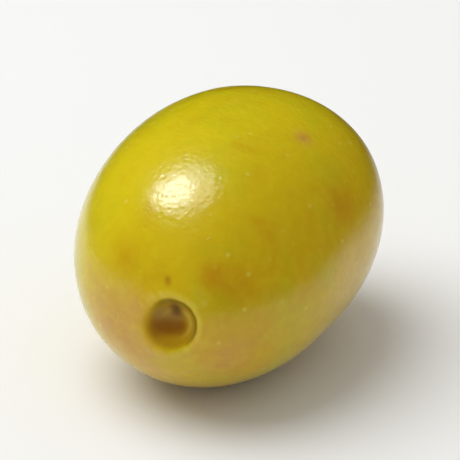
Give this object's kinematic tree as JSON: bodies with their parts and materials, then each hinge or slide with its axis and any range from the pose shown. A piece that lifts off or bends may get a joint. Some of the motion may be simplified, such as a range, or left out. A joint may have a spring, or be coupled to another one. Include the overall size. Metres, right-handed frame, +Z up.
{
  "type": "green olive",
  "caption": "Plump cured green olive lying on its side on a small flat spot, with the round cup of its stalk at one end and the dry point of its flower at the other.",
  "frame": {"origin": "middle of the underside of the fruit's box, inside its flat spot, on the surface that it rests on", "axes": "+Z is up; the long axis lies along Y, with the stem's cup towards -Y and the flower's point towards +Y; the stem end hooks towards +X"},
  "size_m": [0.0212, 0.0294, 0.0204],
  "materials": {
    "olive_skin": "cured olive skin: smooth, waxy, yellow green, wet with brine"
  },
  "bodies": {
    "root": {"olive": "olive_skin"}
  },
  "joints": []
}
